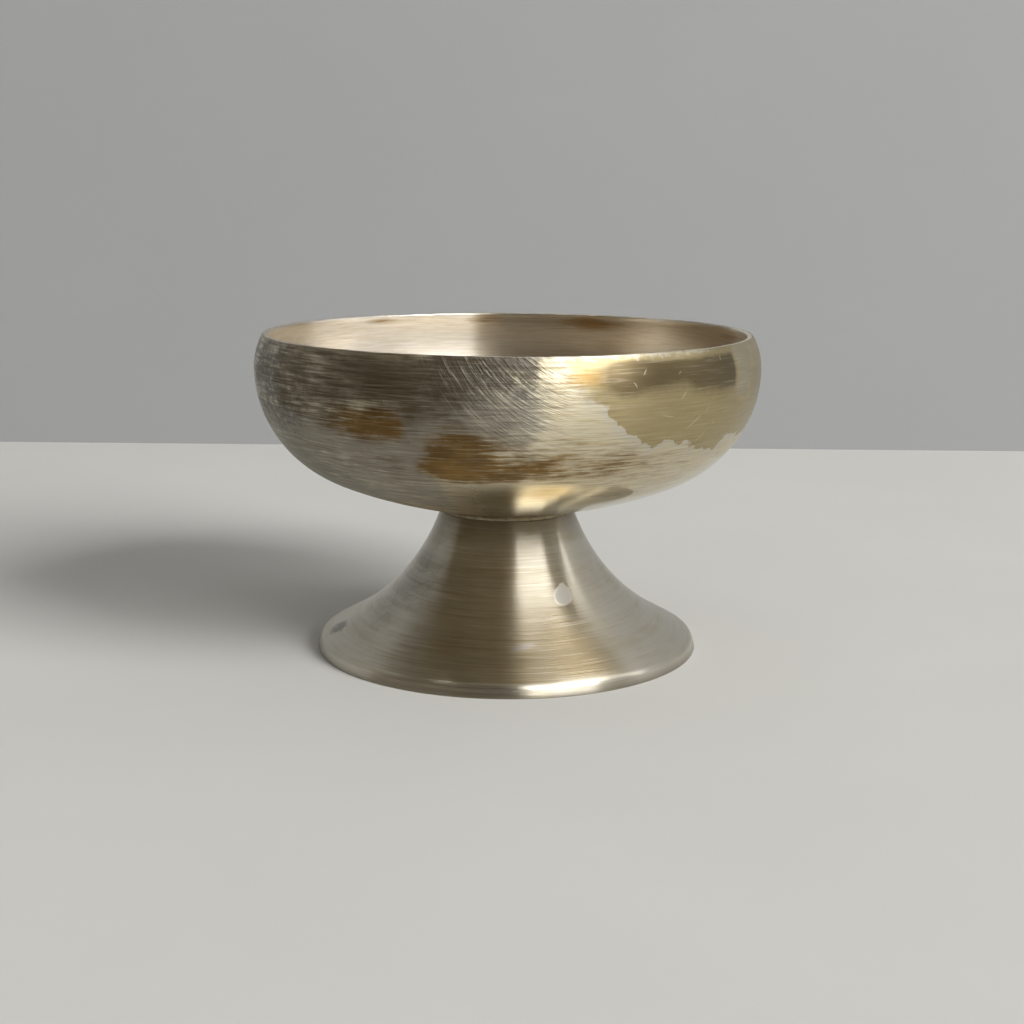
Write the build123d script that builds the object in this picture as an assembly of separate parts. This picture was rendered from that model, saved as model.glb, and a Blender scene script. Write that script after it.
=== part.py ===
from build123d import *

import os
from math import asin, atan2, cos, degrees, radians, sin, sqrt, tan

# A footed offering bowl in worn silver plate. The bowl and its trumpet foot are each spun from
# sheet brass on a lathe, and soft solder joins the flat seat under the bowl to the foot's flat top.
# The origin is on the table under the middle of the foot, and Z runs up the axis of both spinnings.
# Sizes are in millimetres and angles in degrees.

# Foot, from the table up
FOOT_HEIGHT = 31.6
BASE_DIAMETER = 85.0  # outside, on the table
EDGE_HEIGHT = 2.5  # steep edge below the shoulder
EDGE_LEAN = 17.0  # how far that edge leans in from upright
SKIRT_SLOPE = 29.0  # straight skirt above the shoulder, measured from the table
SKIRT_LENGTH = 7.0
NECK_DIAMETER = 29.1  # outside, at the top, before the corner is rounded
FOOT_WALL = 1.2
SHOULDER_BEND = 0.8  # inside radius where the skirt turns down into the edge
NECK_BEND = 0.4  # inside radius where the neck turns in to the flat top
BASE_BREAK = 0.15  # round on both edges that stand on the table

# Bowl, from its flat seat up
SEAT_SETBACK = 0.25  # from the neck's corner in to the edge of the seat
CROWN_RADIUS = 101.0  # the shallow bottom, part of a ball centred on the axis
BELLY_DIAMETER = 110.0  # outside, at the widest point
BELLY_RADIUS = 26.0  # round of the wall between the crown and the widest point
MOUTH_RADIUS = 14.9  # round that draws the wall in above the widest point
MOUTH_HEIGHT = 7.45  # from the widest point up to the rim
BOWL_WALL = 1.5
RIM_BREAK = 0.35  # round on both edges of the filed rim

# Solder, a film between the two flats and a bead round the neck
SOLDER_FILM = 0.15
BEAD_DROP = 1.3  # how far the bead runs down the neck from the foot's top
BEAD_REACH = 1.5  # how far the bead runs out under the bowl from the neck's corner
BEAD_SAG = 0.25  # depth of the hollow in the bead's face

# Places that the pieces share
NECK_R = NECK_DIAMETER / 2
SEAT_R = NECK_R - SEAT_SETBACK
SEAT_Z = FOOT_HEIGHT + SOLDER_FILM
CROWN_CENTRE_Z = SEAT_Z + sqrt(CROWN_RADIUS**2 - SEAT_R**2)


def foot_outline():
    """The foot's outside from the table up: the steep edge with the skirt, and the flare."""
    base_r = BASE_DIAMETER / 2
    shoulder = Vector(base_r - EDGE_HEIGHT * tan(radians(EDGE_LEAN)), EDGE_HEIGHT)
    up_skirt = Vector(-cos(radians(SKIRT_SLOPE)), sin(radians(SKIRT_SLOPE)))
    skirt = Polyline((base_r, 0), shoulder, shoulder + up_skirt * SKIRT_LENGTH)
    flare = TangentArc(skirt @ 1, (NECK_R, FOOT_HEIGHT), tangent=up_skirt)
    return skirt, flare


def bowl_outline():
    """The bowl's outside in three tangent arcs, crown, belly and mouth, from the seat up to the rim.

    Where two arcs touch, the point lies on the line through their two centres."""
    belly_r = BELLY_DIAMETER / 2
    belly_out = belly_r - BELLY_RADIUS
    belly_down = sqrt((CROWN_RADIUS - BELLY_RADIUS) ** 2 - belly_out**2)
    belly_z = CROWN_CENTRE_Z - belly_down
    seat_angle = degrees(asin(SEAT_R / CROWN_RADIUS)) - 90
    touch_angle = degrees(atan2(-belly_down, belly_out))
    mouth_turn = degrees(asin(MOUTH_HEIGHT / MOUTH_RADIUS))
    crown = CenterArc((0, CROWN_CENTRE_Z), CROWN_RADIUS, seat_angle, touch_angle - seat_angle)
    CenterArc((belly_out, belly_z), BELLY_RADIUS, touch_angle, -touch_angle)
    mouth = CenterArc((belly_r - MOUTH_RADIUS, belly_z), MOUTH_RADIUS, 0, mouth_turn)
    return crown @ 0, mouth @ 1


def foot_blank():
    """The foot before it is hollowed, with its two bends."""
    with BuildPart() as blank:
        with BuildSketch(Plane.XZ) as section:
            with BuildLine():
                skirt, flare = foot_outline()
                Polyline(flare @ 1, (0, FOOT_HEIGHT), (0, 0), skirt @ 0)
            make_face()
            shoulder = skirt.edges()[0] @ 1
            for corner, bend in ((shoulder, SHOULDER_BEND), (flare @ 1, NECK_BEND)):
                fillet(section.vertices().sort_by_distance(corner)[0], bend + FOOT_WALL)
        revolve(axis=Axis.Z)
    return blank.part


def bowl_blank():
    """The bowl before it is hollowed."""
    with BuildPart() as blank:
        with BuildSketch(Plane.XZ):
            with BuildLine():
                seat_edge, rim = bowl_outline()
                Polyline(seat_edge, (0, seat_edge.Y), (0, rim.Y), rim)
            make_face()
        revolve(axis=Axis.Z)
    return blank.part


def foot():
    """The spun foot: hollow and open below, and closed by the flat top that carries the bowl."""
    with BuildPart() as shell:
        add(foot_blank())
        offset(amount=-FOOT_WALL, openings=shell.faces().filter_by(GeomType.PLANE).sort_by(Axis.Z)[0])
        fillet(shell.faces().filter_by(GeomType.PLANE).sort_by(Axis.Z)[0].edges(), BASE_BREAK)
    return shell.part


def bowl():
    """The spun bowl: hollowed from the mouth, with the rim's two edges broken by a file."""
    with BuildPart() as shell:
        add(bowl_blank())
        offset(amount=-BOWL_WALL, openings=shell.faces().filter_by(GeomType.PLANE).sort_by(Axis.Z)[-1])
        fillet(shell.faces().filter_by(GeomType.PLANE).sort_by(Axis.Z)[-1].edges(), RIM_BREAK)
    return shell.part


def solder_joint():
    """The solder that has run between the flats and hangs in the corner round the neck.

    Its section reaches into both walls behind a hollow face, and is trimmed to them."""
    flare = foot_outline()[1]
    low_z = FOOT_HEIGHT - BEAD_DROP
    low_r = flare.arc_center.X - sqrt(flare.radius**2 - (low_z - flare.arc_center.Y) ** 2)
    high_r = NECK_R + BEAD_REACH
    high_z = CROWN_CENTRE_Z - sqrt(CROWN_RADIUS**2 - high_r**2)
    inside_z = high_z + BOWL_WALL
    with BuildPart() as solder:
        with BuildSketch(Plane.XZ):
            with BuildLine():
                face = SagittaArc((low_r, low_z), (high_r, high_z), BEAD_SAG)
                Polyline(face @ 1, (high_r, inside_z), (0, inside_z), (0, low_z), face @ 0)
            make_face()
        revolve(axis=Axis.Z)
        add(bowl_blank(), mode=Mode.SUBTRACT)
        add(foot_blank(), mode=Mode.SUBTRACT)
    return solder.part


os.makedirs("parts", exist_ok=True)
for name, piece in {"bowl": bowl(), "foot": foot(), "solder_joint": solder_joint()}.items():
    export_step(piece, f"parts/{name}.step")
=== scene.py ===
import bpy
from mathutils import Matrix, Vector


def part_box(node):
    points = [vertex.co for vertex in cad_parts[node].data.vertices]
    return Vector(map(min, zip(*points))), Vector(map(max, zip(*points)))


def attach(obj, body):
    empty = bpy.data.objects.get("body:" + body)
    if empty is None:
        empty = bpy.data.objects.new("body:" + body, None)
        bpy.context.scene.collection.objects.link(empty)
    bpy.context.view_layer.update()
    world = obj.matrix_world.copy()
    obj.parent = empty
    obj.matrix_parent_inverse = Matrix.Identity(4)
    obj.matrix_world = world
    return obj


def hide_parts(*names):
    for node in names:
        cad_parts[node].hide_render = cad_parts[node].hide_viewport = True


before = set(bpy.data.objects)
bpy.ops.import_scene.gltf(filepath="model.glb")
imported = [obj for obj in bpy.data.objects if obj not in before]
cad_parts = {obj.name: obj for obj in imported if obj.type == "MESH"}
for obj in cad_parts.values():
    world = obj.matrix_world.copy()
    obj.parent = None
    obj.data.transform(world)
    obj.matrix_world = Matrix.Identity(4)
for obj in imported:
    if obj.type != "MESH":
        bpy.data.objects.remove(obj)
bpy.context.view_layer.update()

import math

import bpy
import numpy as np
from mathutils import Vector

# Foot: a trumpet of sheet brass, spun on a lathe, silver plated and polished round and round. It is
# hollow and open below, stands on a narrow ring, and its flat top carries the bowl. BASE_R is measured to
# the sharp corner that the base's rounding takes off.
MM = 0.001
FOOT_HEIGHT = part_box("foot")[1].z / MM
CORNER_PAST_ROUND = 0.058
BASE_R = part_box("foot")[1].x / MM + CORNER_PAST_ROUND
EDGE_HEIGHT, EDGE_LEAN = 2.5, math.radians(17)
SKIRT_LENGTH, SKIRT_SLOPE = 7.0, math.radians(29)
NECK_R = 14.55
FOOT_WALL = 1.2
SHOULDER_ROUND, NECK_ROUND, BASE_ROUND = 2.0, 1.6, 0.15


def arc(centre, radius, start, end, steps):
    """Points at equal angles on a circle, from start to end in radians, as rows (r, z)."""
    a = np.linspace(start, end, steps)
    return np.column_stack((centre[0] + radius * np.cos(a), centre[1] + radius * np.sin(a)))


def joined(*stretches):
    """One path from stretches that follow each other, without the points that two of them share."""
    path = np.concatenate(stretches)
    apart = np.hypot(*np.diff(path, axis=0).T) > 1e-4
    return path[np.concatenate(([True], apart))]


def rounded(path, corner, radius, steps=7):
    """The path with its point nearest to the corner replaced by an arc tangent to both sides.

    The arc's centre lies on the corner's bisector, at radius / sin(half the corner's angle)."""
    i = int(np.argmin(np.hypot(*(path - corner).T)))
    to_last, to_next = (d / np.hypot(*d) for d in (path[i - 1] - path[i], path[i + 1] - path[i]))
    half = math.acos(float(to_last @ to_next)) / 2
    bisector = (to_last + to_next) / np.hypot(*(to_last + to_next))
    centre = path[i] + bisector * radius / math.sin(half)
    first = path[i] + to_last * radius / math.tan(half) - centre
    last = path[i] + to_next * radius / math.tan(half) - centre
    start = math.atan2(first[1], first[0])
    turn = math.atan2(first[0] * last[1] - first[1] * last[0], first @ last)
    return np.concatenate((path[:i], arc(centre, radius, start, start + turn, steps), path[i + 1:]))


def other_side(path, wall):
    """The sheet's other side: each point moved by the wall to the right of the path's way there."""
    step = np.diff(path, axis=0)
    step /= np.hypot(*step.T)[:, None]
    way = np.concatenate((step[:1], step[:-1] + step[1:], step[-1:]))
    way /= np.hypot(*way.T)[:, None]
    return path + wall * np.column_stack((way[:, 1], -way[:, 0]))


def spun(name, path, turns, sink):
    """A surface of revolution: the path's point (r, z) turned by a is (r sin a, -r cos a, z).

    The path runs from axis to axis, where the rings close to one point each. sink(azimuth, along) is how
    many mm each point lies under the true outline: the azimuth is in degrees from the front towards the
    right, and along in mm from the path's start."""
    length = np.concatenate(([0], np.cumsum(np.hypot(*np.diff(path, axis=0).T))))
    way = np.gradient(path, axis=0)
    way /= np.hypot(*way.T)[:, None]
    a, along = np.meshgrid(np.linspace(-math.pi, math.pi, turns, endpoint=False), length[1:-1])
    deep = sink(np.degrees(a), along)
    r = path[1:-1, :1] - way[1:-1, 1:] * deep
    z = path[1:-1, 1:] + way[1:-1, :1] * deep
    rings = np.stack((r * np.sin(a), -r * np.cos(a), z), axis=2).reshape(-1, 3)
    places = np.concatenate((rings, [(0, 0, path[0, 1]), (0, 0, path[-1, 1])]))
    azimuth = np.append(np.degrees(a).ravel(), (0, 0))
    along = np.append(along.ravel(), (0, length[-1]))

    rows = len(path) - 2
    i, j = np.meshgrid(np.arange(rows - 1), np.arange(turns), indexing="ij")
    k = (j + 1) % turns
    sides = np.stack((i * turns + j, i * turns + k, (i + 1) * turns + k, (i + 1) * turns + j), axis=2)
    j, k = np.arange(turns), (np.arange(turns) + 1) % turns
    end = (rows - 1) * turns
    start_cap = np.column_stack((0 * j + len(rings), k, j))
    end_cap = np.column_stack((end + j, end + k, 0 * j + len(rings) + 1))
    mesh = bpy.data.meshes.new(name)
    faces = sides.reshape(-1, 4).tolist() + start_cap.tolist() + end_cap.tolist()
    mesh.from_pydata((places * MM).tolist(), [], faces)
    mesh.polygons.foreach_set("use_smooth", np.ones(len(mesh.polygons), bool))

    u = np.arange(turns) / turns
    step = 1 / turns
    v = length / length[-1]
    low, u_side = np.meshgrid(v[1:-2], u, indexing="ij")
    high = np.meshgrid(v[2:-1], u, indexing="ij")[0]
    side_uv = np.stack((u_side, low, u_side + step, low, u_side + step, high, u_side, high), axis=2)
    start_uv = np.column_stack((u + step / 2, 0 * u, u + step, 0 * u + v[1], u, 0 * u + v[1]))
    end_uv = np.column_stack((u, 0 * u + v[-2], u + step, 0 * u + v[-2], u + step / 2, 0 * u + 1))
    uv = np.concatenate((side_uv.ravel(), start_uv.ravel(), end_uv.ravel()))
    mesh.uv_layers.new(name="round_and_along").data.foreach_set("uv", uv)

    piece = bpy.data.objects.new(name, mesh)
    bpy.context.collection.objects.link(piece)
    give(piece, "lathe_mm", places[:, 0], places[:, 1], along)
    return piece, azimuth, places[:, 2], along


def give(piece, name, *parts):
    """Three numbers at each point of a piece, for its material to read by name."""
    numbers = piece.data.attributes.new(name, "FLOAT_VECTOR", "POINT")
    numbers.data.foreach_set("vector", np.column_stack(parts).ravel())


def spot(azimuth, along, centre, reach):
    """1 at the centre, falling away as exp(-d * d), where d counts the reach: degrees round, mm along."""
    turn = (azimuth - centre[0] + 180) % 360 - 180
    return np.exp(-((turn / reach[0]) ** 2) - ((along - centre[1]) / reach[1]) ** 2)


def block(azimuth, up, sides, ends, soft, radius):
    """1 within (left, right) degrees and (low, high) mm, falling to 0 across soft mm at each edge.

    Each edge is a logistic curve of the distance to it, and the four are multiplied. Soft is one number,
    or four for the left, right, low and high edge."""
    mm = math.radians(radius)
    turn = (azimuth - sum(sides) / 2 + 180) % 360 - 180
    half = (sides[1] - sides[0]) / 2
    gaps = np.stack(((turn + half) * mm, (half - turn) * mm, up - ends[0], ends[1] - up))
    steep = 4 / np.broadcast_to(soft, 4)[:, None]
    return np.prod(1 / (1 + np.exp(-np.clip(gaps * steep, -60, 60))), axis=0)


def foot_path():
    """The foot's whole section: down inside from the axis, round the base, up outside to the top."""
    shoulder = np.array((BASE_R - EDGE_HEIGHT * math.tan(EDGE_LEAN), EDGE_HEIGHT))
    up_skirt = np.array((-math.cos(SKIRT_SLOPE), math.sin(SKIRT_SLOPE)))
    out = np.array((up_skirt[1], -up_skirt[0]))
    skirt_top = shoulder + up_skirt * SKIRT_LENGTH
    chord = np.array((NECK_R, FOOT_HEIGHT)) - skirt_top
    flare_r = chord @ chord / (2 * chord @ out)
    flare_c = skirt_top + out * flare_r
    neck_c = np.array((0.0, FOOT_HEIGHT - NECK_ROUND))
    neck_c[0] = flare_c[0] - math.sqrt((flare_r + NECK_ROUND) ** 2 - (flare_c[1] - neck_c[1]) ** 2)
    touch = math.atan2(flare_c[1] - neck_c[1], flare_c[0] - neck_c[0])
    outside = joined(
        np.linspace((0, FOOT_HEIGHT), (neck_c[0], FOOT_HEIGHT), 6),
        arc(neck_c, NECK_ROUND, math.pi / 2, touch, 8),
        arc(flare_c, flare_r, touch + math.pi, math.atan2(-out[1], -out[0]) + 2 * math.pi, 40),
        np.linspace(skirt_top, shoulder, 7),
        np.linspace(shoulder, (BASE_R, 0), 4),
    )
    outside = rounded(outside, shoulder, SHOULDER_ROUND)
    inside = other_side(outside, FOOT_WALL)[::-1]
    inside_foot = np.array((BASE_R - FOOT_WALL / math.cos(EDGE_LEAN), 0.0))
    inside = joined(inside_foot[None], inside[inside[:, 1] > 2 * BASE_ROUND])
    whole = joined(outside, inside)
    whole = rounded(whole, np.array((BASE_R, 0.0)), BASE_ROUND, 4)
    return rounded(whole, inside_foot, BASE_ROUND, 4)[::-1]


def foot_sink(azimuth, along):
    """Marks of the spinning tool, a ripple every 3.6 mm along, on a sheet that is a little uneven round."""
    a = np.radians(azimuth)
    ripple = 0.0015 * (1 + np.sin(along * 2 * math.pi / 3.6 + 0.7 * np.sin(2 * a)))
    uneven = 0.02 * (1 + np.sin(3 * a + along / 14)) + 0.006 * (1 + np.sin(7 * a - along / 9))
    return ripple + uneven


foot, azimuth, height, along = spun("foot_spinning", foot_path(), 480, foot_sink)

# The outside begins with the ring on the table, which the path reaches a little before its middle.
RING_BEFORE_MIDDLE = 2
outside = along > 0.5 * along.max() - RING_BEFORE_MIDDLE


def pear(right, up):
    """How many mm inside a drop's outline each point lies, less than 0 outside.

    The outline is a circle of 1.9 mm below and one of 0.3 mm above it, run together as the logarithm of a
    sum of exponentials."""
    body = 1.9 - np.hypot(right, up)
    tip = 0.3 - np.hypot(right + 0.1, up - 2.3)
    return np.log(np.exp(2.2 * body) + np.exp(2.2 * tip)) / 2.2


# A dried drop, drawn as it looks from the front on the leaning flare: its middle in degrees round and mm
# up, the foot's radius there, and how much of a mm round and of a mm up shows as right and as up.
DROP_AT, DROP_RADIUS = (31, 15.7), 24.5
DROP_SIDES, FAR_FROM_DROP = (2, 62), -9
SHOWN_RIGHT, SHOWN_UP = (0.86, -0.39), (0.11, 1.11)
to_right = (azimuth - DROP_AT[0]) * math.radians(1) * DROP_RADIUS
to_top = height - DROP_AT[1]
seen_right = SHOWN_RIGHT[0] * to_right + SHOWN_RIGHT[1] * to_top
seen_up = SHOWN_UP[0] * to_right + SHOWN_UP[1] * to_top
near_drop = outside & (azimuth > DROP_SIDES[0]) & (azimuth < DROP_SIDES[1])
drop = np.where(near_drop, pear(seen_right, seen_up), FAR_FROM_DROP)

# A slanting smear at the front, and the tide marks of dried water at the left and the back. The one at
# the left is also painted shade: it darkens the plate where this side reflects the shadowed floor.
smear = spot(azimuth, height - 0.06 * azimuth, (6, 7.5), (6, 0.6)) * outside
tide_and_dark_reflection = 1.3 * spot(azimuth, height, (-62, 17), (24, 10)) + spot(azimuth, height, (150, 12), (30, 7))
tide_and_dark_reflection = outside * tide_and_dark_reflection
give(foot, "marks", drop, smear, tide_and_dark_reflection)

# The front was rubbed with something coarse, most near the base; the sides kept their polish. Low down
# are two dark spots, at the left and behind it; the one at the left is painted shade, the dark reflection
# of the shadowed floor at the base's edge. FOOT_R is the radius that turns degrees into mm here.
FOOT_R = 28
rubbed = outside * block(azimuth, height, (-46, 37), (-3, 40), (4, 2, 1, 1), FOOT_R)
coarse = block(azimuth, height, (2, 33), (3, 14), (8, 4, 1, 6), FOOT_R)
coarse = outside * (coarse + block(azimuth, height, (15, 38), (3, 12), (7, 4, 0.8, 6), FOOT_R))
spots_and_dark_reflection = spot(azimuth, height, (-80, 4.6), (7, 1.6)) + 0.5 * spot(azimuth, height, (-140, 6), (14, 3))
spots_and_dark_reflection = outside * spots_and_dark_reflection
give(foot, "front", rubbed, coarse, spots_and_dark_reflection)


def linear(code):
    """An sRGB colour written as six hex digits, as linear red, green and blue and an alpha of 1."""
    part = np.array([int(code[i:i + 2], 16) for i in (0, 2, 4)]) / 255
    part = np.where(part <= 0.04045, part / 12.92, ((part + 0.055) / 1.055) ** 2.4)
    return (*part.tolist(), 1.0)


def add_node(tree, kind, inputs, out=0, **settings):
    """A new node with its settings; each input is a number, a colour or another node's output."""
    node = tree.nodes.new("ShaderNode" + kind)
    for key, value in settings.items():
        setattr(node, key, value)
    for key, value in inputs.items():
        if isinstance(value, bpy.types.NodeSocket):
            tree.links.new(value, node.inputs[key])
        else:
            node.inputs[key].default_value = value
    return node.outputs[out]


def new_material(name):
    """A new material, its node tree and the tree's shader."""
    material = bpy.data.materials.new(name)
    material.use_nodes = True
    return material, material.node_tree, material.node_tree.nodes["Principled BSDF"]


def field(tree, name):
    """The three numbers that a piece was given under a name, as three outputs."""
    vector = add_node(tree, "Attribute", {}, out="Vector", attribute_name=name)
    return [add_node(tree, "SeparateXYZ", {0: vector}, out=axis) for axis in "XYZ"]


def times(tree, value, factor, plus=None):
    """value * factor, or value * factor + plus."""
    if plus is None:
        return add_node(tree, "Math", {0: value, 1: factor}, operation="MULTIPLY")
    return add_node(tree, "Math", {0: value, 1: factor, 2: plus}, operation="MULTIPLY_ADD")


def ramp(tree, value, start, end, low=0.0, high=1.0, eased=False):
    """low where the value is at start or beyond, high where it is at end or beyond, in between a share t.

    The share grows evenly, or, eased, as t * t * (3 - 2 * t)."""
    way = {"Value": value, "From Min": start, "From Max": end, "To Min": low, "To Max": high}
    return add_node(tree, "MapRange", way, interpolation_type="SMOOTHSTEP" if eased else "LINEAR")


def tint(tree, amount, first, second):
    """The first colour turned into the second by the amount; each is six hex digits or an output."""
    first, second = (linear(c) if isinstance(c, str) else c for c in (first, second))
    return add_node(tree, "Mix", {0: amount, 6: first, 7: second}, out=2, data_type="RGBA")


def relief(tree, height, depth, under=None):
    """A normal from heights of 0 to 1 that stand for depth mm, laid over the normal under it."""
    inputs = {"Strength": 1.0, "Distance": depth * MM, "Height": height}
    if under is not None:
        inputs["Normal"] = under
    return add_node(tree, "Bump", inputs, out="Normal")


def lines_noise(tree, lathe, length, gap, detail):
    """Noise drawn out round the axis into lines of a length and a gap in mm.

    It is turned after it is stretched, so that the ends of the lines do not stand in rows."""
    stretch = (1 / length, 1 / length, 1 / gap)
    way = add_node(tree, "Mapping", {"Vector": lathe, "Scale": stretch, "Rotation": (0.6, 0.5, 0.3)})
    return add_node(tree, "TexNoise", {"Vector": way, "Scale": 1, "Detail": detail, "Roughness": 0.6})


# Worn silver plate on spun brass: a warm grey metal with fine polishing lines round it, which draw every
# light into a tall streak, a little brass where the plate is thin, and dull water marks.
foot_plate, tree, shader = new_material("worn_silver_plate_on_spun_brass")
lathe = add_node(tree, "Attribute", {}, out="Vector", attribute_name="lathe_mm")
drop, smear, tide_and_dark_reflection = field(tree, "marks")
rubbed, coarse, spots_and_dark_reflection = field(tree, "front")

# Polishing lines about 18 mm long, drawn 0.45 mm apart because the real ones are too fine to show, bands
# of them 1.8 mm apart, and blotches of 7 mm by 4 mm.
fine = lines_noise(tree, lathe, 18, 0.45, 2)
band = lines_noise(tree, lathe, 30, 1.8, 3)
blotch_way = add_node(tree, "VectorMath", {0: lathe, 1: (1 / 7, 1 / 7, 1 / 4)}, operation="MULTIPLY")
blotch = add_node(tree, "TexNoise", {"Vector": blotch_way, "Scale": 1, "Detail": 5, "Roughness": 0.6})

# Warm grey plate, browner where it was rubbed thin, with grime in the lines and bright metal between them.
thin = ramp(tree, times(tree, band, blotch), 0.2, 0.42, eased=True)
colour = tint(tree, thin, "d3cdbe", "cac1ab")
thin = times(tree, coarse, 0.35, times(tree, rubbed, 0.1))
colour = tint(tree, thin, colour, "8f7b52")
shown = times(tree, rubbed, 0.75, 0.25)
grime = ramp(tree, fine, 0.52, 0.7, high=0.4)
colour = tint(tree, times(tree, grime, shown), colour, "978868")
shine = ramp(tree, fine, 0.42, 0.3, high=0.5)
colour = tint(tree, times(tree, shine, shown), colour, "f2ecdc")

# Dried water leaves a dull edge where the blotches cross a level, and a grey bloom inside it; at the left
# the bloom is also painted shade, for the shadowed floor reflected there.
edge = add_node(tree, "Math", {0: blotch, 1: 0.52}, operation="SUBTRACT")
edge = add_node(tree, "Math", {0: edge}, operation="ABSOLUTE")
edge = ramp(tree, edge, 0.045, 0.004, eased=True)
edge = times(tree, times(tree, edge, tide_and_dark_reflection), 0.18)
colour = tint(tree, times(tree, tide_and_dark_reflection, band), colour, "8b867d")
colour = tint(tree, edge, colour, "6c665e")

# The dark spots, the smear and the drop, then painted contact shade along the table, and flux with
# painted shade browning the neck under the bowl.
# The dark spot at the left is painted shade: the dark reflection of the shadowed floor.
spots_and_dark_reflection = ramp(tree, times(tree, blotch, spots_and_dark_reflection), 0.25, 0.45, high=0.7)
colour = tint(tree, spots_and_dark_reflection, colour, "5d5852")
worn = ramp(tree, times(tree, smear, band), 0.15, 0.4, eased=True)
colour = tint(tree, worn, colour, "bcb4ab")
inside_drop = ramp(tree, drop, -0.08, 0.08)
colour = tint(tree, inside_drop, colour, "bdb8ae")
place = add_node(tree, "TexCoord", {}, out="Object")
level = add_node(tree, "SeparateXYZ", {0: place}, out="Z")
# Painted contact shade: the colour darkens within 1.7 mm of the table, for the shade where the base meets
# it.
painted_contact_shade = ramp(tree, level, 1.7 * MM, 0.4 * MM, high=0.45)
colour = tint(tree, painted_contact_shade, colour, "5f5546")
# Browner towards the neck from 24.5 mm up: flux, and painted shade where the bowl overhangs the foot's top.
flux_and_shade = ramp(tree, level, 24.5 * MM, 31 * MM, high=0.7)
colour = tint(tree, flux_and_shade, colour, "5c4c38")
tree.links.new(colour, shader.inputs["Base Color"])

rough = ramp(tree, blotch, 0.3, 0.7, 0.278, 0.288)
for duller, more in ((rubbed, 0.01), (edge, 0.25), (worn, 0.12), (coarse, 0.03), (inside_drop, 0.2)):
    rough = times(tree, duller, more, rough)
tree.links.new(rough, shader.inputs["Roughness"])
metal = times(tree, inside_drop, -0.35, 1.0)
tree.links.new(metal, shader.inputs["Metallic"])

# The lines and bands stand in the metal, deeper where the rub was coarse, and the drop stands on it.
single = ramp(tree, fine, 0.54, 0.68, high=0.6)
lines = times(tree, band, 0.8, fine)
lines = add_node(tree, "Math", {0: lines, 1: single}, operation="SUBTRACT")
lines = times(tree, lines, times(tree, coarse, 0.5, shown))
bead = ramp(tree, drop, -0.25, 0.35, eased=True)
tree.links.new(relief(tree, bead, 0.05, relief(tree, lines, 0.03)), shader.inputs["Normal"])
shader.inputs["Anisotropic"].default_value = 0.95
shader.inputs["Anisotropic Rotation"].default_value = 0.25

foot.data.materials.append(foot_plate)
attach(foot, "root")
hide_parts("foot")

# Solder joint: soft solder run between the foot's top and the bowl's seat. A thin film fills the joint
# and a small hollow bead, browned by flux, goes round the neck.
SEAT_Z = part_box("bowl")[0].z / MM
SEAT_R = 14.3
CROWN_RADIUS = 101.0
BEAD_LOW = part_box("solder_joint")[0].z / MM
BEAD_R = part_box("solder_joint")[1].x / MM
BEAD_SAG = (-0.25, 0.16)
BEAD_MIDDLE = 17.3


def solder_path():
    """The joint's section: along the foot's top and down its neck, over the bead, back along the bowl."""
    foot_side = foot_path()[::-1]
    foot_side = foot_side[: int(np.argmax(foot_side[:, 1] < BEAD_LOW))]
    bowl_top = SEAT_Z + math.sqrt(CROWN_RADIUS**2 - SEAT_R**2) - math.sqrt(CROWN_RADIUS**2 - BEAD_R**2)
    t = np.linspace(0, 1, 9)[1:, None]
    start, end = foot_side[-1], np.array((BEAD_R, bowl_top))
    hollow = start + (end - start) * t + np.array(BEAD_SAG) * 4 * t * (1 - t)
    bowl_side = np.linspace((BEAD_R, bowl_top), (SEAT_R, SEAT_Z), 4)[1:]
    film = np.linspace((SEAT_R, SEAT_Z), (0, SEAT_Z), 4)[1:]
    return joined(foot_side, hollow, bowl_side, film)


def solder_sink(azimuth, along):
    """The bead's runs and lumps, shallow waves round the neck on the free face only."""
    a = np.radians(azimuth)
    free = spot(0 * azimuth, along, (0, BEAD_MIDDLE), (1, 1.1))
    return free * (0.05 * (1 + np.sin(11 * a + 1)) + 0.04 * (1 + np.sin(29 * a)))


solder = spun("solder_bead", solder_path(), 240, solder_sink)[0]

# Soft solder: a dull lead-grey metal, browned and spotted by flux that was never washed off, most of it
# beside the bowl.
solder_metal, tree, shader = new_material("flux_browned_soft_solder")
lathe = add_node(tree, "Attribute", {}, out="Vector", attribute_name="lathe_mm")
flux_and_shade = add_node(tree, "TexNoise", {"Vector": lathe, "Scale": 0.55, "Detail": 4, "Roughness": 0.6})
flux_and_shade = ramp(tree, flux_and_shade, 0.4, 0.85)
by_bowl = add_node(tree, "SeparateXYZ", {0: lathe}, out="Z")
by_bowl = ramp(tree, by_bowl, BEAD_MIDDLE + 0.1, BEAD_MIDDLE + 0.8)
flux_and_shade = add_node(tree, "Math", {0: flux_and_shade, 1: by_bowl}, operation="MAXIMUM")
tree.links.new(tint(tree, flux_and_shade, "9c9079", "6b5b44"), shader.inputs["Base Color"])
tree.links.new(ramp(tree, flux_and_shade, 0, 1, 0.34, 0.55), shader.inputs["Roughness"])
tree.links.new(ramp(tree, flux_and_shade, 0, 1, 1.0, 0.8), shader.inputs["Metallic"])
grain = add_node(tree, "TexNoise", {"Vector": lathe, "Scale": 2.2, "Detail": 3})
tree.links.new(relief(tree, grain, 0.05), shader.inputs["Normal"])

solder.data.materials.append(solder_metal)
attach(solder, "root")
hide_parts("solder_joint")

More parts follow.
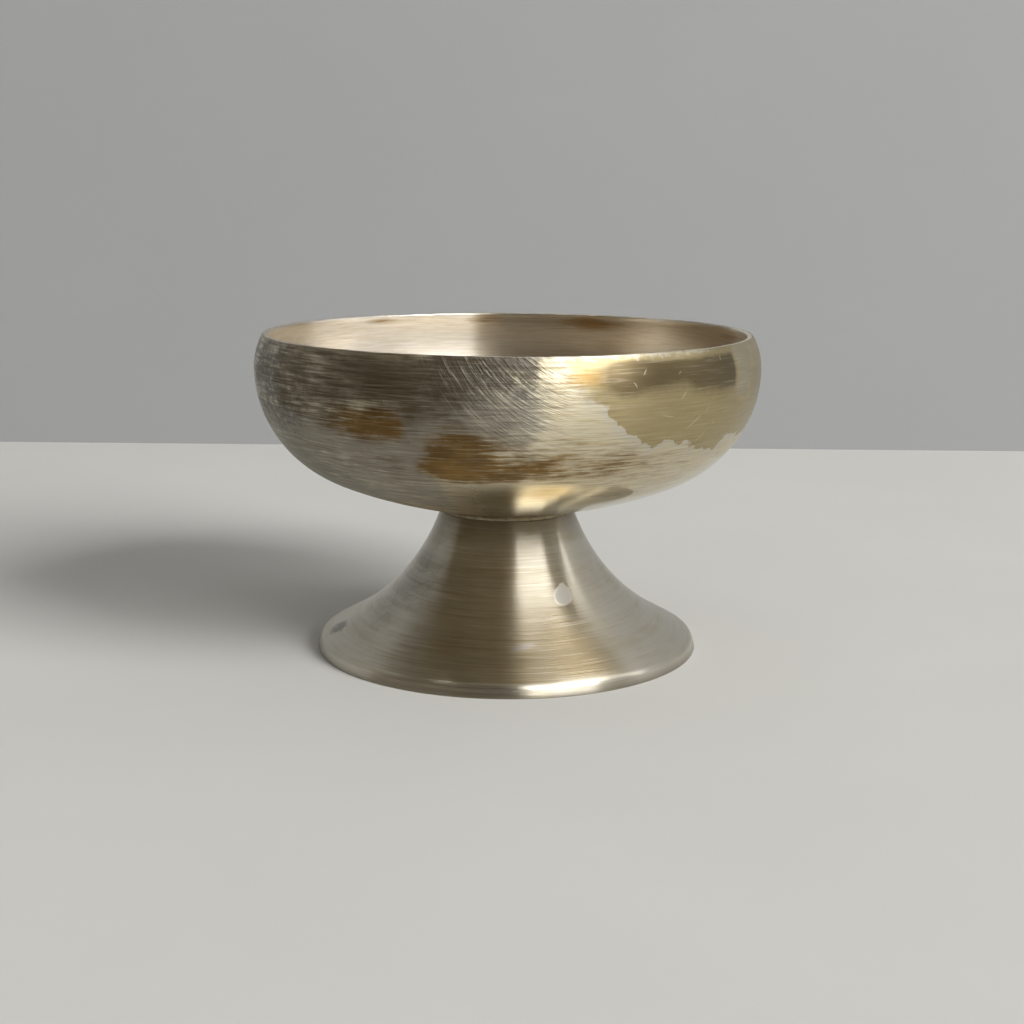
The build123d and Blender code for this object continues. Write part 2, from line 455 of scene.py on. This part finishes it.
# Bowl: a shallow sheet-brass bowl spun over a former, its mouth drawn in and filed flat, then silver
# plated. Years of polishing have worn the plate through in patches, and its flat seat is soldered on.
# RIM_UP is the way up the outside from the seat's edge to the rim, and RIM_ALONG the way from the axis.
RIM_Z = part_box("bowl")[1].z / MM
BELLY_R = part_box("bowl")[1].x / MM
BELLY_RADIUS, MOUTH_RADIUS = 26.0, 14.9
BOWL_WALL, RIM_ROUND = 1.5, 0.35
UNDER_RIM = 0.6
RIM_UP = 63.9
RIM_ALONG = RIM_UP + SEAT_R


def bowl_path():
    """The bowl's whole section: out along the seat, up outside, over the rim and down inside."""
    crown_z = SEAT_Z + math.sqrt(CROWN_RADIUS**2 - SEAT_R**2)
    belly_out = BELLY_R - BELLY_RADIUS
    belly_z = crown_z - math.sqrt((CROWN_RADIUS - BELLY_RADIUS) ** 2 - belly_out**2)
    seat = math.asin(SEAT_R / CROWN_RADIUS) - math.pi / 2
    touch = math.atan2(belly_z - crown_z, belly_out)
    mouth = math.asin((RIM_Z - belly_z) / MOUTH_RADIUS)
    outside = joined(
        np.linspace((0, SEAT_Z), (SEAT_R, SEAT_Z), 4),
        arc((0, crown_z), CROWN_RADIUS, seat, touch, 22),
        arc((belly_out, belly_z), BELLY_RADIUS, touch, 0, 28),
        arc((BELLY_R - MOUTH_RADIUS, belly_z), MOUTH_RADIUS, 0, mouth, 9),
    )
    inside = other_side(outside, -BOWL_WALL)[::-1]
    rim_in = np.array((np.interp(RIM_Z, inside[::-1, 1], inside[::-1, 0]), RIM_Z))
    inside = inside[inside[:, 1] < RIM_Z - UNDER_RIM]
    whole = joined(outside, rim_in[None], inside)
    whole = rounded(whole, outside[-1], RIM_ROUND, 5)
    return rounded(whole, rim_in, RIM_ROUND, 5)


def bowl_sink(azimuth, along):
    """Tool ripples every 4.4 mm and an uneven sheet; the filed rim dips and has nicks in places."""
    a = np.radians(azimuth)
    ripple = 0.002 * (1 + np.sin(along * 2 * math.pi / 4.4 + 0.6 * np.sin(3 * a)))
    uneven = 0.025 * (1 + np.sin(2 * a + along / 11)) + 0.012 * (1 + np.sin(9 * a - along / 6))
    at_rim = np.exp(-(((along - RIM_ALONG - BOWL_WALL / 2) / 0.9) ** 2))
    filed = 0.05 * (1 + np.sin(5 * a + 1)) + 0.03 * (1 + np.sin(23 * a)) + 0.02 * (1 + np.sin(61 * a))
    nicks = sum(spot(azimuth, 0, (place, 0), (0.55, 1)) for place in
                (-1, 1.6, 3.2, 5.5, 8, -62, -71, 41, 118, 176, -158, -149, -122))
    return ripple + uneven + at_rim * (filed + 0.14 * nicks)


bowl, azimuth, height, along = spun("bowl_spinning", bowl_path(), 700, bowl_sink)
up = along - SEAT_R
ONTO_RIM = 0.6
outer = up < RIM_UP + ONTO_RIM


def blocks(*rows):
    """The sum of blocks on the outside, each row a size, its sides, its ends and its softness."""
    return outer * sum(size * block(azimuth, up, *where, BELLY_R) for size, *where in rows)


# Where the plate has gone, in degrees round and mm up from the seat's edge: bare amber brass, browned
# brass, and grey tarnish.
amber = blocks(
    (1.4, (-38.5, -21.5), (47.4, 53.5), (9, 3, 2.5, 5)),
    (1.4, (-15.5, -3), (37.6, 49), (5, 14, 2.5, 7)),
    (1.1, (-20, -14), (39.6, 41.8), 2),
    (0.4, (-12, 34), (37.5, 45), (10, 10, 2.5, 8)),
    (0.3, (-12, 12), (37, 46), (9, 9, 3, 9)),
    (0.3, (6, 31), (38.5, 46), (6, 5, 2, 4)),
    (0.25, (-52, -9), (34, 50), 6),
    (0.7, (-140, 0), (-20, 24), 9),
    (0.6, (45, 215), (-20, 26), 8),
    (0.5, (0, 45), (-20, 20), 8),
    (0.95, (128, 152), (43, 51), 5),
    (0.95, (-168, -136), (37, 45), 5),
    (0.9, (-115, -96), (47, 53), 4))
brown = blocks(
    (1.25, (21, 56.4), (57.8, 62.3), (4, 1, 4, 1.4)),
    (0.6, (42, 56.4), (54.8, 61), (6, 1, 4, 2)),
    (0.8, (-58, -39), (50.5, 66), (6, 4, 4, 3)),
    (0.75, (-39, -6), (48, 66), (4, 9, 4, 3)),
    (0.4, (-30, -18), (54, 60), 4),
    (0.7, (-48, -32), (48.6, 51.6), (7, 4, 2, 2)),
    (0.5, (13, 30), (55, 63), 5),
    (-0.12, (-47, -40.5), (50, 64), (3, 3, 4, 3)),
    (0.9, (150, 184), (54, 62), 5),
    (0.8, (-142, -116), (53, 62), 5))
pewter = blocks(
    (0.3, (-84, -44), (46, 66), (8, 8, 8, 3)),
    (0.3, (-73, -57), (56.5, 63), 4),
    (0.95, (-17, 6.5), (57, 66), (7, 2, 8, 2)),
    (0.3, (-78, -53), (44, 58), (6, 5, 5, 5)),
    (0.25, (-60, -5), (48, 58), 6),
    (0.15, (-100, -14), (22, 46), 8),
    (0.25, (176, 200), (55, 64), 6),
    (0.2, (96, 122), (50, 63), 6))
give(bowl, "stain", amber, brown, pewter)


def patch(azimuth, up, outline):
    """How many mm inside a closed outline of (degrees, mm) corners each point lies, less than 0 outside.

    The size is the distance to the nearest side, and the sign comes from counting the sides that a line
    going round from the point crosses."""
    at = np.column_stack((azimuth * math.radians(BELLY_R), up))[:, None]
    corners = np.array(outline) * (math.radians(BELLY_R), 1)
    side = np.roll(corners, -1, axis=0) - corners
    t = ((at - corners) * side).sum(2) / (side * side).sum(1)
    gap = at - corners - np.clip(t, 0, 1)[..., None] * side
    near = np.hypot(gap[..., 0], gap[..., 1]).min(1)
    above = at[..., 1] > corners[:, 1]
    crosses = above != np.roll(above, -1, axis=1)
    with np.errstate(divide="ignore", invalid="ignore"):
        where = corners[:, 0] + (at[..., 1] - corners[:, 1]) / side[:, 1] * side[:, 0]
    within = (crosses & (at[..., 0] < where)).sum(1) % 2 == 1
    return np.where(within, near, -near)


# Two patches where the plate has peeled and the brass toned to olive, the plate that lasts, and a golden
# spot near the rim.
NOT_OLIVE = -20
right_patch = patch(azimuth, up, (
    (9, 68), (11, 62.6), (14.3, 57), (20.2, 53.4), (22, 50.6), (24.7, 48.8), (32, 45), (36, 46),
    (41.5, 45.7), (43.7, 44), (54, 41.7), (57, 45.2), (71, 44), (84, 47), (92, 54), (99, 68)))
back_patch = patch(azimuth, up, (
    (-174, 68), (-170, 60), (-165.5, 57.5), (-163, 53.4), (-155, 51.8), (-150.5, 49.3), (-146, 50.4),
    (-143.5, 52.6), (-137, 52), (-133, 48.3), (-127, 47.6), (-122.5, 50.8), (-117, 52.2), (-112, 57.4),
    (-108, 61), (-106, 68)))
olive = np.where(outer, np.maximum(right_patch, back_patch), NOT_OLIVE)
silver = blocks(
    (0.85, (-95, -15), (22, 49.5), (8, 4, 6, 3)),
    (0.8, (-25, -14), (42, 52), 5),
    (0.65, (-100, -8), (47, 66), 5),
    (0.75, (57.2, 65), (52.5, 66), (1, 3, 3, 2)),
    (0.55, (60, 79), (57, 66), (3, 5, 3, 2)),
    (0.85, (-14, 8), (45, 60), 7),
    (0.3, (22, 80), (28, 41), 6),
    (0.7, (100, 240), (26, 46), 8))
gold = outer * spot(azimuth, up, (15.5, 59.5), (4.5, 2.4))
give(bowl, "plate", olive, silver, gold)

# A hand pad was swung in arcs over the front, within 37 mm of a point above the rim to the right and from
# 12 degrees left of straight below it. The arcs end at the olive patch, less sharply near the rim. A degree
# of the swing is about half a mm.
PAD_AT, PAD_REACH, PAD_START = (18.75, 78), 37, 12
PAD_MM_PER_DEGREE = 0.5
pad_x, pad_y = (azimuth - PAD_AT[0]) * math.radians(BELLY_R), up - PAD_AT[1]
swing = np.hypot(pad_x, pad_y)
swept = np.degrees(np.arctan2(-pad_x, -pad_y))
on_front = 1 / (1 + np.exp((swing - PAD_REACH) / 0.8)) / (1 + np.exp(-(swept - PAD_START) / 4))
on_front = on_front * (abs(azimuth) < 60)
patch_edge = 1.5 + 4 * np.clip((up - 54) / 5, 0, 1)
fan = outer * on_front * np.clip(0.4 - right_patch / patch_edge, 0, 1)
give(bowl, "fan", swing, swept * PAD_MM_PER_DEGREE, fan)

# Inside, out of the pad's reach, the plate is dull, with stains under the rim; outside, the rim's edge is
# rubbed pale, most at the front and the right.
inner = 1.0 - outer
stains = (
    (1.0, (-143, 66.8), (4.5, 0.8)),
    (0.4, (-154, 66.8), (4, 0.8)),
    (1.2, (157, 67.6), (8, 1.7)),
    (0.7, (-174, 67), (6, 1.2)),
    (0.7, (60, 68), (10, 1)),
    (0.6, (-40, 69), (12, 1.4)),
    (0.7, (105, 67.8), (7, 1)))
rim_stain = inner * sum(size * spot(azimuth, up, centre, reach) for size, centre, reach in stains)
RIM_EDGE_UP = 64.7
rubbed = 0.6 * np.exp(-(((up - RIM_EDGE_UP) / 0.5) ** 2))
rubbed = rubbed + blocks((0.7, (4, 50), (62.8, 66), (3, 8, 2, 1)))
give(bowl, "inside", inner, rim_stain, rubbed)

# The bottom kept its mirror polish on the right and the right side is smooth. The inside is browner at the
# back right, apart from one clean stripe, and at the left: brown tarnish, and painted shade for the darker
# room that these walls reflect.
mirror = blocks((1.0, (-6, 200), (-30, 39), (22, 9, 4, 4)))
calm = np.maximum(blocks((1.0, (46, 112), (14, 80), (8, 6, 5, 4))), outer * np.clip(right_patch / 3, 0, 1))
taupe_and_dark_reflection = inner * block(azimuth, up, (104, 189), (40, 120), (8, 3, 5, 5), BELLY_R)
taupe_and_dark_reflection = taupe_and_dark_reflection * (1 - 0.95 * spot(azimuth, 0, (138, 0), (8, 1)))
taupe_and_dark_reflection += 0.9 * inner * block(azimuth, up, (-118, -40), (40, 120), (12, 8, 5, 5), BELLY_R)
give(bowl, "polish", mirror, calm, taupe_and_dark_reflection)


def blend(tree, amount, first, second):
    """The first number turned into the second by the amount."""
    return add_node(tree, "Mix", {0: amount, 2: first, 3: second}, data_type="FLOAT")


# Silver plate worn through to brass: champagne where the plate is thin, silver grey where it lasts, amber
# to olive where bare brass has toned, all drawn out in polishing lines that stretch the highlights.
bowl_plate, tree, shader = new_material("silver_plate_worn_through_to_brass")
lathe = add_node(tree, "Attribute", {}, out="Vector", attribute_name="lathe_mm")
amber, brown, pewter = field(tree, "stain")
olive, silver, gold = field(tree, "plate")
inner, rim_stain, rubbed = field(tree, "inside")
mirror, calm, taupe_and_dark_reflection = field(tree, "polish")
swings = add_node(tree, "Attribute", {}, out="Vector", attribute_name="fan")
fan = add_node(tree, "SeparateXYZ", {0: swings}, out="Z")

# Polishing lines 9 mm long and 0.3 mm apart, streaks of wear 7 mm long and 0.5 mm wide, and blotches
# of about 5 mm and 1.3 mm.
fine = lines_noise(tree, lathe, 9, 0.3, 2)
streak = lines_noise(tree, lathe, 7, 0.5, 4)
blotch_way = add_node(tree, "VectorMath", {0: lathe, 1: (1 / 6, 1 / 6, 1 / 4)}, operation="MULTIPLY")
blotch = add_node(tree, "TexNoise", {"Vector": blotch_way, "Scale": 1, "Detail": 6, "Roughness": 0.62})
speck = add_node(tree, "TexNoise", {"Vector": lathe, "Scale": 0.75, "Detail": 4, "Roughness": 0.65})
streak = blend(tree, times(tree, calm, 0.6), streak, 0.5)
fray = times(tree, blotch, 1.2, times(tree, streak, 1.8, -1.5))

# The pad's arcs: lines 0.7 mm apart and about 9 mm long.
arc_way = add_node(tree, "VectorMath", {0: swings, 1: (1 / 0.7, 1 / 9, 0)}, operation="MULTIPLY")
arcs = add_node(tree, "TexNoise", {"Vector": arc_way, "Scale": 1, "Detail": 3, "Roughness": 0.7})

# Thin plate: champagne, warmer in the streaks.
in_streak = ramp(tree, streak, 0.35, 0.65)
colour = tint(tree, in_streak, "ddd3bb", "d1c3a1")

# Plate that lasts, in streaks.
lasting = add_node(tree, "Math", {0: fray, 1: silver}, operation="ADD")
lasting = ramp(tree, lasting, 0.15, 0.9, eased=True)
colour = tint(tree, lasting, colour, "a39d8f")

# Grey tarnish, mottled.
mottle = times(tree, blotch, 1.1, times(tree, speck, 1.1, pewter))
mottle = ramp(tree, mottle, 1.4, 1.95, high=0.9, eased=True)
colour = tint(tree, mottle, colour, "736d64")

# Bare brass, amber with ragged streaky ends.
torn = ramp(tree, amber, 0.45, 0.9, 0.8, 1.7)
bare = ramp(tree, times(tree, fray, torn, amber), 0.1, 1.2, high=0.9, eased=True)
brass = tint(tree, ramp(tree, blotch, 0.35, 0.65), "8c6829", "6c4d19")
colour = tint(tree, bare, colour, brass)

# The olive patch, its edge in lobes of about 2 mm, with a pale lip of lifting plate along it. The edge is
# sharp below and soft near the rim.
coast = add_node(tree, "TexNoise", {"Vector": lathe, "Scale": 1 / 2.2, "Detail": 2, "Roughness": 0.55})
ragged = add_node(tree, "Math", {0: coast, 1: 0.5}, operation="SUBTRACT")
ragged = times(tree, ragged, 4, olive)
lip = times(tree, ramp(tree, ragged, -3.2, -0.1), blotch)
lip = ramp(tree, lip, 0.2, 0.55, high=0.8)
colour = tint(tree, lip, colour, "cdc8bb")
along_mm = add_node(tree, "SeparateXYZ", {0: lathe}, out="Z")
soft = ramp(tree, along_mm, 53 + SEAT_R, 59 + SEAT_R, 0.12, 2.5)
toned = ramp(tree, ragged, times(tree, soft, -1.0), soft)
colour = tint(tree, toned, colour, tint(tree, in_streak, "b6a780", "ad9d76"))
golden = add_node(tree, "Math", {0: fray, 1: gold}, operation="ADD")
golden = ramp(tree, golden, 0.3, 0.9, high=0.65, eased=True)
colour = tint(tree, golden, colour, "b08a48")

# Browned brass, streaky, over the patch and the plate alike, and grey plate left on the far right.
burnt = times(tree, fray, 0.6, times(tree, amber, -0.7, brown))
burnt = ramp(tree, burnt, 0.15, 1.0, high=0.85, eased=True)
colour = tint(tree, burnt, colour, "675941")
left_on = times(tree, blotch, 1.6, times(tree, speck, 0.8, silver))
left_on = times(tree, ramp(tree, left_on, 1.75, 1.9, eased=True), toned)
colour = tint(tree, left_on, colour, "a79e86")

# Dark polish stays in the grooves, more where the metal is browned or grey, and the ridges are bright.
held = add_node(tree, "Math", {0: brown, 1: pewter}, operation="ADD")
held = add_node(tree, "Math", {0: held, 1: 0.35, 2: 0.3}, operation="MULTIPLY_ADD", use_clamp=True)
held = blend(tree, calm, held, 0.1)
held = blend(tree, mirror, held, 0.06)
groove = times(tree, ramp(tree, fine, 0.5, 0.7), held)
colour = tint(tree, groove, colour, "57472f")
colour = tint(tree, ramp(tree, fine, 0.44, 0.3, high=0.2), colour, "ded5c0")
dark_arc = times(tree, ramp(tree, arcs, 0.46, 0.34, high=0.45), fan)
colour = tint(tree, dark_arc, colour, "7d7566")
bright_arc = times(tree, ramp(tree, arcs, 0.55, 0.7, high=0.6), fan)
colour = tint(tree, bright_arc, colour, "e3d9c4")

# The rim's edge, rubbed pale.
pale = ramp(tree, times(tree, speck, 1.2, rubbed), 1.0, 1.3, high=0.65)
colour = tint(tree, pale, colour, "d6cfbf")

# Single scratches, a little crooked: degrees round, mm up, slant in degrees, and length in mm. They are
# drawn 0.26 mm wide.
SCRATCH_HALF = 0.13
unrolled_mm = (math.radians(BELLY_R) * 360, float(along.max()), 0)
unrolled = add_node(tree, "UVMap", {}, uv_map="round_and_along")
unrolled = add_node(tree, "VectorMath", {0: unrolled, 1: unrolled_mm}, operation="MULTIPLY")
wander = add_node(tree, "TexNoise", {"Vector": unrolled, "Scale": 1 / 7, "Detail": 1}, out="Color")
wander = add_node(tree, "VectorMath", {0: wander, 1: (0.5, 0.5, 0.5)}, operation="SUBTRACT")
wander = add_node(tree, "VectorMath", {0: wander, 1: (4, 4, 0), 2: unrolled}, operation="MULTIPLY_ADD")
scratch = 1.0
for azimuth_at, up_at, slant, size in (
        (42.5, 50.1, 48, 5), (46, 52.6, 42, 2.5), (46.4, 46.4, 52, 4.5), (38.2, 55.5, 32, 3),
        (34, 52, -24, 3.5), (29, 60.5, 60, 2), (26, 58.2, -40, 1.6), (37, 60, 20, 1.4),
        (49, 49.4, 80, 0.8), (51.1, 62.4, 70, 1), (0.7, 38.3, -8, 1.6), (1.5, 34.6, 0, 2),
        (-24.5, 55.6, 80, 0.7), (6, 36, 40, 5), (8, 35, 52, 4), (-148, 52, 40, 6),
        (170, 49, -30, 5), (118, 55, 62, 4), (-105, 44, 20, 5), (150, 58, -55, 4)):
    middle = ((azimuth_at + 180) / 360 * unrolled_mm[0], up_at + SEAT_R, 0)
    half = (size / 2, SCRATCH_HALF, 1)
    local = add_node(tree, "Mapping", {"Vector": wander, "Location": middle, "Scale": half,
                                       "Rotation": (0, 0, math.radians(slant))}, vector_type="TEXTURE")
    local = add_node(tree, "VectorMath", {0: local}, out="Value", operation="LENGTH")
    scratch = add_node(tree, "Math", {0: local, 1: scratch}, operation="MINIMUM")
scratch = ramp(tree, scratch, 1.0, 0.6, high=0.55)
colour = tint(tree, scratch, colour, "dcd2b8")

# Inside: a warmer, duller plate with stains under the rim.
dull = tint(tree, in_streak, "ebe4d8", "dacfbc")
# Browner inside at the back right and the left: tarnish, and painted shade standing for the darker room
# reflected there.
dull = tint(tree, times(tree, taupe_and_dark_reflection, 0.62), dull, "86775d")
spotted = ramp(tree, times(tree, streak, 1.2, rim_stain), 0.75, 1.6, high=0.8)
dull = tint(tree, spotted, dull, "8a6a38")
tree.links.new(tint(tree, inner, colour, dull), shader.inputs["Base Color"])

rough = ramp(tree, streak, 0.3, 0.7, 0.35, 0.45)
for duller, more in ((lasting, 0.1), (mottle, 0.08), (left_on, 0.12), (fan, 0.08)):
    rough = times(tree, duller, more, rough)
rough = blend(tree, inner, blend(tree, mirror, rough, 0.12), 0.3)
tree.links.new(rough, shader.inputs["Roughness"])
film = add_node(tree, "Math", {0: lasting, 1: left_on}, operation="MAXIMUM")
film = blend(tree, mirror, times(tree, film, -0.15, 1.0), 1.0)
clean = ramp(tree, taupe_and_dark_reflection, 0, 1, 0.63, 0.9)
tree.links.new(blend(tree, inner, film, clean), shader.inputs["Metallic"])

# The lines, the streaks and the scratches stand in the metal, the pad's arcs and the plate's torn edge on
# top of them.
lines = times(tree, scratch, -0.5, times(tree, streak, 0.5, fine))
brushed = blend(tree, mirror, times(tree, calm, -0.6, 1.0), 0.15)
bump = relief(tree, times(tree, lines, brushed), 0.04)
bump = relief(tree, times(tree, arcs, fan), 0.2, bump)
step = add_node(tree, "Math", {0: 1.0, 1: toned}, operation="SUBTRACT")
tree.links.new(relief(tree, step, 0.03, bump), shader.inputs["Normal"])
shader.inputs["Anisotropic"].default_value = 0.8
shader.inputs["Anisotropic Rotation"].default_value = 0.25

bowl.data.materials.append(bowl_plate)
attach(bowl, "root")
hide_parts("bowl")

# Floor and wall: a pale painted board with a faint unevenness, and a plain grey wall behind it that is
# clear from its other side, so that it never stands before the bowl.


def sheet(name, corners, coat):
    """A flat four-cornered sheet with its material."""
    mesh = bpy.data.meshes.new(name)
    mesh.from_pydata(corners, [], [(0, 1, 2, 3)])
    piece = bpy.data.objects.new(name, mesh)
    bpy.context.collection.objects.link(piece)
    piece.data.materials.append(coat)
    return piece


def paint(name, dark, light, rough):
    """A matt paint with the faint clouding that a roller leaves, here 60 mm across."""
    material, tree, shader = new_material(name)
    place = add_node(tree, "TexCoord", {}, out="Object")
    cloud = add_node(tree, "TexNoise", {"Vector": place, "Scale": 1 / (60 * MM), "Detail": 3})
    tree.links.new(tint(tree, cloud, dark, light), shader.inputs["Base Color"])
    shader.inputs["Roughness"].default_value = rough
    return material, tree, shader


# Emulsion paint on the board: pale and quite matt, without a gleam.
floor_paint, tree, shader = paint("pale_emulsion_paint", "c3c2be", "c9c8c4", 0.9)
shader.inputs["Specular IOR Level"].default_value = 0.0
sheet("floor", [(-3, -3, 0), (3, -3, 0), (3, 3, 0), (-3, 3, 0)], floor_paint)

# Grey paint on the wall: a plain backdrop, which only its painted side shows.
wall_paint, tree, shader = paint("grey_wall_paint", "939393", "969696", 0.7)
behind = add_node(tree, "NewGeometry", {}, out="Backfacing")
front = add_node(tree, "Math", {0: 1.0, 1: behind}, operation="SUBTRACT")
tree.links.new(front, shader.inputs["Alpha"])
sheet("wall", [(-0.5, 0.283, 0), (3, 0.21, 0), (3, 0.21, 2), (-0.5, 0.283, 2)], wall_paint)

# Room: one pale tone all round. A brown curtain hangs in front to the left and a dark cloth lies on the
# floor there; only the metal sees them, as the dark that a real room gives it.
room = bpy.data.worlds.new("room")
bpy.context.scene.world = room
room.use_nodes = True
room.node_tree.nodes["Background"].inputs["Color"].default_value = linear("a4a4a2")

# Velvet: a deep brown without a gleam, a little uneven from its folds.
velvet, tree, shader = new_material("brown_velvet")
place = add_node(tree, "TexCoord", {}, out="Object")
fold = add_node(tree, "TexNoise", {"Vector": place, "Scale": 1 / (300 * MM), "Detail": 2})
tree.links.new(tint(tree, fold, "4b4336", "645847"), shader.inputs["Base Color"])
shader.inputs["Roughness"].default_value = 1.0
shader.inputs["Specular IOR Level"].default_value = 0.0


def for_metal_only(piece):
    """A piece that shows only in reflections and casts no shadow."""
    piece.visible_camera = piece.visible_diffuse = piece.visible_shadow = False


def curtain(name, sides, ends, distance, cloth):
    """An upright part of a cylinder round the axis, from (left, right) degrees and (low, high) metres."""
    a = np.radians(np.linspace(*sides, 31))
    low, high = (np.column_stack((distance * np.sin(a), -distance * np.cos(a), 0 * a + z)) for z in ends)
    i = np.arange(len(a) - 1)
    faces = np.column_stack((i, i + 1, i + 1 + len(a), i + len(a)))
    mesh = bpy.data.meshes.new(name)
    mesh.from_pydata(np.concatenate((low, high)).tolist(), [], faces.tolist())
    piece = bpy.data.objects.new(name, mesh)
    bpy.context.collection.objects.link(piece)
    piece.data.materials.append(cloth)
    return piece


for_metal_only(curtain("front_curtain", (-86, 11), (0, 4), 2.0, velvet))

# Felt: nearly black, with a short nap. It fades in from 130 to 330 mm away towards the front left.
cloth, tree, shader = new_material("dark_felt")
place = add_node(tree, "TexCoord", {}, out="Object")
far = add_node(tree, "VectorMath", {0: place, 1: (-0.75, -0.66, 0)}, out="Value", operation="DOT_PRODUCT")
tree.links.new(ramp(tree, far, 0.13, 0.33), shader.inputs["Alpha"])
nap = add_node(tree, "TexNoise", {"Vector": place, "Scale": 1 / (3 * MM)})
tree.links.new(tint(tree, nap, "2f2c29", "403c38"), shader.inputs["Base Color"])
shader.inputs["Roughness"].default_value = 0.9
CLOTH_Z = 0.001
corners = [(-3, -3, CLOTH_Z), (0.3, -3, CLOTH_Z), (0.3, 0.25, CLOTH_Z), (-3, 0.25, CLOTH_Z)]
for_metal_only(sheet("front_cloth", corners, cloth))

# Light: one large soft window to the right in front lights the floor, the wall and all that is matt. The
# metal reflects panes of a bright sky instead, whose edges bound its highlights.


def lamp(name, azimuth, elevation, distance, size, power):
    """A rectangular lamp that faces the bowl, from degrees round and up and a distance in metres."""
    data = bpy.data.lights.new(name, "AREA")
    data.shape = "RECTANGLE"
    data.size, data.size_y = size
    data.energy = power
    piece = bpy.data.objects.new(name, data)
    a, e = math.radians(azimuth), math.radians(elevation)
    way = Vector((math.sin(a) * math.cos(e), -math.cos(a) * math.cos(e), math.sin(e)))
    piece.location = way * distance + Vector((0, 0, 0.04))
    piece.rotation_euler = way.to_track_quat("Z", "Y").to_euler()
    bpy.context.collection.objects.link(piece)
    return piece


window = lamp("window", 55, 26, 5.0, (2.0, 2.4), 360)
window.visible_glossy = window.visible_camera = False


def pane(name, azimuth, elevation, size, level):
    """A lamp 3 m away that only the metal sees, as bright as its level: power = level * pi * area."""
    piece = lamp(name, azimuth, elevation, 3.0, size, level * math.pi * size[0] * size[1])
    piece.visible_diffuse = piece.visible_camera = False


pane("window_pane", 36.5, 35, (2.1, 1.3), 6.4)
pane("high_pane", 27, 53, (0.8, 0.8), 2.2)
pane("sky_pane", 95, 60, (2.6, 1.2), 5.5)
pane("side_pane", 92, 33, (0.22, 1.5), 3.5)
pane("left_pane", -88, 73, (0.7, 0.7), 7.0)

# Camera: a little above the rim, as the photograph was taken, looking down and rolled a very little.
LOOK_DOWN, ROLL = 0.2040, 0.0059
view = bpy.data.cameras.new("camera")
view.lens, view.sensor_width = 54.45, 36
view.clip_start = 0.01
camera = bpy.data.objects.new("camera", view)
camera.location = (1.1 * MM, -339.2 * MM, 99.82 * MM)
camera.rotation_mode = "ZYX"
camera.rotation_euler = (math.pi / 2 - LOOK_DOWN, 0, ROLL)
bpy.context.collection.objects.link(camera)
bpy.context.scene.camera = camera
bpy.context.scene.view_settings.view_transform = "Standard"
